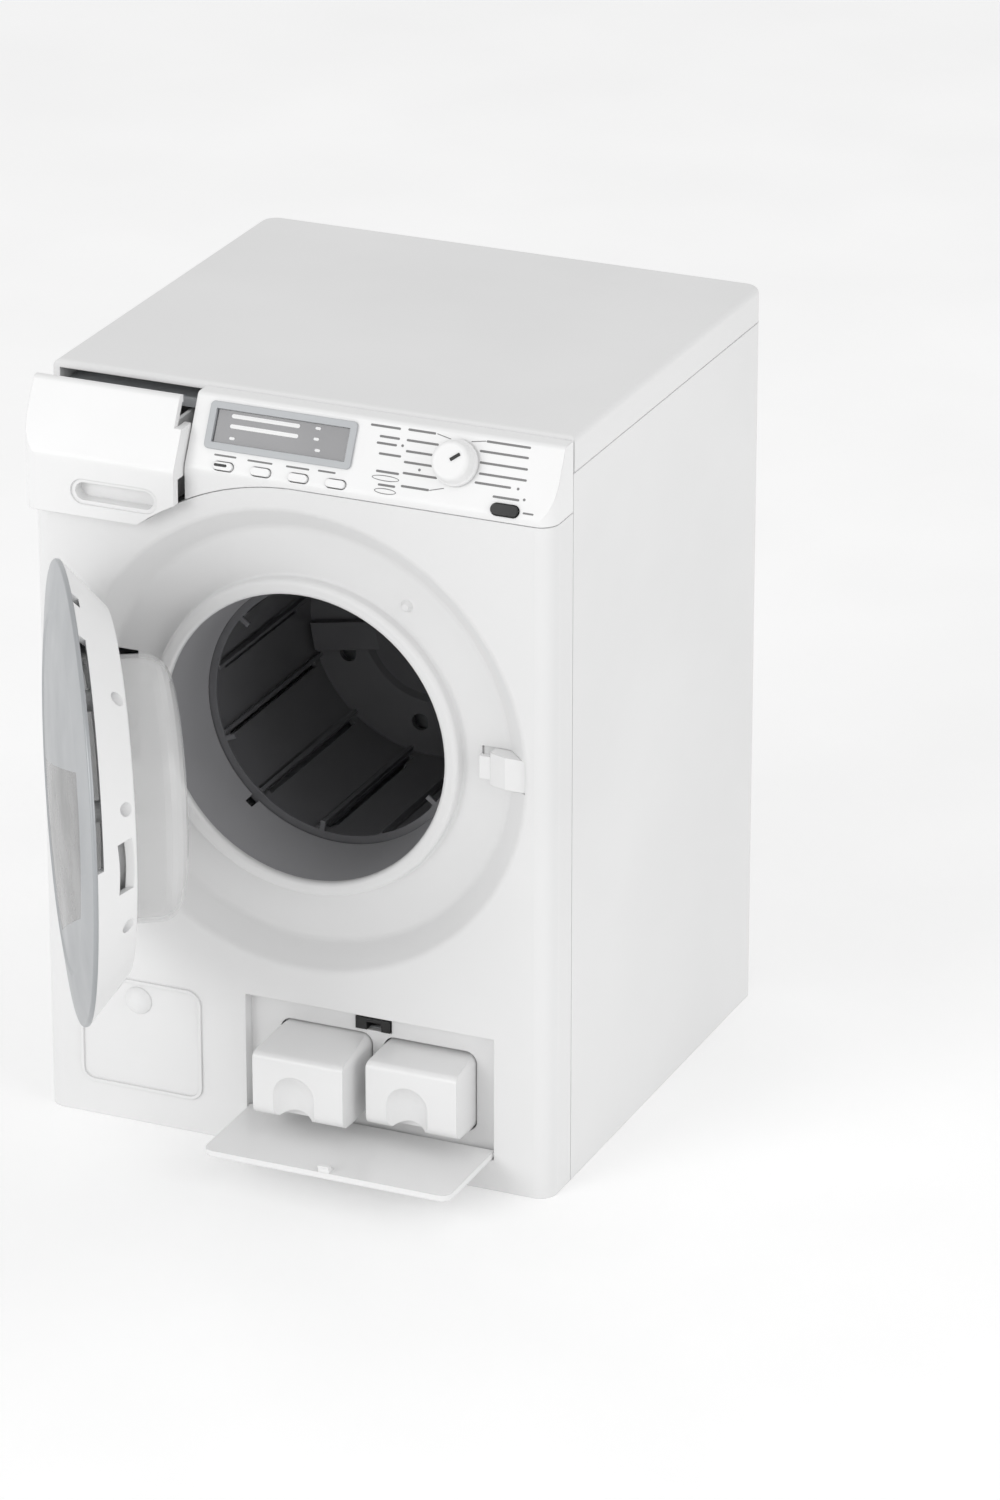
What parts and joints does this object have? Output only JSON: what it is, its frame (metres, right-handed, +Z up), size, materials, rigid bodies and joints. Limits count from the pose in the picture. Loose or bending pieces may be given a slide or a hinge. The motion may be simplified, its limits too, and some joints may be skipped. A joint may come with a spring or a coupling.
{
  "type": "toy washing machine",
  "caption": "Toy front-loading washing machine: round door open on its hinge over a slotted drum, drawer and battery boxes pulled out, service flap down.",
  "frame": {"origin": "centre of the flat underside of the casing, on the surface that the toy stands on", "axes": "+Z up; the front with the door faces -Y; +X is to the right seen from the front; with the door open Y is the longest side"},
  "size_m": [0.184, 0.3085, 0.26],
  "materials": {
    "white_shell": "moulded, soft sheen",
    "white_trim": "moulded, soft sheen",
    "pale_grey": "moulded, matt",
    "grey_plastic": "moulded, matt",
    "silver_plastic": "silver-grey, satin",
    "drum_grey": "dark grey, satin",
    "dark_window": "smoked, glossy",
    "clear_plastic": "clear, glossy",
    "black_plastic": "moulded, matt",
    "green_board": "lacquered",
    "ivory_nylon": "moulded, matt",
    "cell_jacket": "printed sleeve",
    "steel": "zinc plated",
    "brass": "turned"
  },
  "bodies": {
    "casing": {"front_panel": "white_shell", "cabinet_shell": "white_shell", "base_plate": "grey_plastic", "back_cover": "white_shell", "top_cover": "white_shell", "control_fascia": "white_trim", "display_bezel": "pale_grey", "display_window": "dark_window", "drawer_housing": "pale_grey", "door_collar": "grey_plastic", "tub": "pale_grey", "tub_back": "pale_grey", "bearing_bush": "brass", "motor_bracket": "steel", "motor_can": "steel", "circuit_board": "green_board", "selector_switch": "black_plastic", "speaker": "black_plastic", "battery_bay": "pale_grey", "battery_contacts": "steel", "flap_catch": "black_plastic", "door_catch": "white_trim", "hinge_pin": "steel", "casing_screws": "steel"},
    "door": {"door_frame": "white_trim", "door_panel": "silver_plastic", "door_window": "dark_window", "door_bowl": "clear_plastic", "door_screws": "steel"},
    "drawer": {"drawer_front": "white_trim", "drawer_tray": "white_trim"},
    "flap": {"service_flap": "white_trim"},
    "box_left": {"battery_box_left": "white_trim", "cells_left": "cell_jacket"},
    "box_right": {"battery_box_right": "white_trim", "cells_right": "cell_jacket"},
    "drum": {"drum_front_ring": "grey_plastic", "drum_barrel": "drum_grey", "drum_back": "drum_grey", "drum_shaft": "steel", "drum_gear": "ivory_nylon"},
    "rotor": {"motor_shaft": "steel", "motor_pinion": "brass"},
    "selector": {"selector_knob": "white_trim", "knob_pointer": "black_plastic"},
    "key_1": {"option_key_1": "white_trim"},
    "key_2": {"option_key_2": "white_trim"},
    "key_3": {"option_key_3": "white_trim"},
    "key_4": {"option_key_4": "white_trim"},
    "power": {"power_button": "black_plastic"}
  },
  "joints": [
    {"name": "door_hinge", "type": "hinge", "parent": "casing", "child": "door", "pos_m": [-0.0755, -0.081, 0.1475], "axis": [0, 0, -1], "range_deg": [-57, 9]},
    {"name": "drawer_slide", "type": "slide", "parent": "casing", "child": "drawer", "axis": [0, -1, 0], "range_m": [-0.007, 0.029]},
    {"name": "flap_hinge", "type": "hinge", "parent": "casing", "child": "flap", "pos_m": [0.02725, -0.0885, 0.0126], "axis": [-1, 0, 0], "range_deg": [0, 90]},
    {"name": "box_left_slide", "type": "slide", "parent": "casing", "child": "box_left", "axis": [0, -1, 0], "range_m": [-0.0255, 0]},
    {"name": "box_right_slide", "type": "slide", "parent": "casing", "child": "box_right", "axis": [0, -1, 0], "range_m": [-0.018, 0]},
    {"name": "drum_spin", "type": "hinge", "parent": "casing", "child": "drum", "pos_m": [0.003, 0, 0.1475], "axis": [0, 1, 0], "continuous": true},
    {"name": "pinion_spin", "type": "hinge", "parent": "casing", "child": "rotor", "pos_m": [0.003, 0.043, 0.1175], "axis": [0, 1, 0], "continuous": true},
    {"name": "selector_turn", "type": "hinge", "parent": "casing", "child": "selector", "pos_m": [0.0564, -0.08346, 0.25003], "axis": [0, -0.891, 0.454], "continuous": true},
    {"name": "key_1_press", "type": "slide", "parent": "casing", "child": "key_1", "axis": [0, 0.891, -0.454], "range_m": [0, 0.0008], "stiffness_N_per_m": 300},
    {"name": "key_2_press", "type": "slide", "parent": "casing", "child": "key_2", "axis": [0, 0.891, -0.454], "range_m": [0, 0.0008], "stiffness_N_per_m": 300},
    {"name": "key_3_press", "type": "slide", "parent": "casing", "child": "key_3", "axis": [0, 0.891, -0.454], "range_m": [0, 0.0008], "stiffness_N_per_m": 300},
    {"name": "key_4_press", "type": "slide", "parent": "casing", "child": "key_4", "axis": [0, 0.891, -0.454], "range_m": [0, 0.0008], "stiffness_N_per_m": 300},
    {"name": "power_press", "type": "slide", "parent": "casing", "child": "power", "axis": [0, 0.891, -0.454], "range_m": [0, 0.0008], "stiffness_N_per_m": 300}
  ],
  "couplings": [
    {"joint": "pinion_spin", "follows": "drum_spin", "ratio": -4},
    {"joint": "flap_hinge", "follows": "box_left_slide", "rad_per_m": -61.59},
    {"joint": "box_right_slide", "follows": "box_left_slide", "ratio": 0.70588}
  ]
}
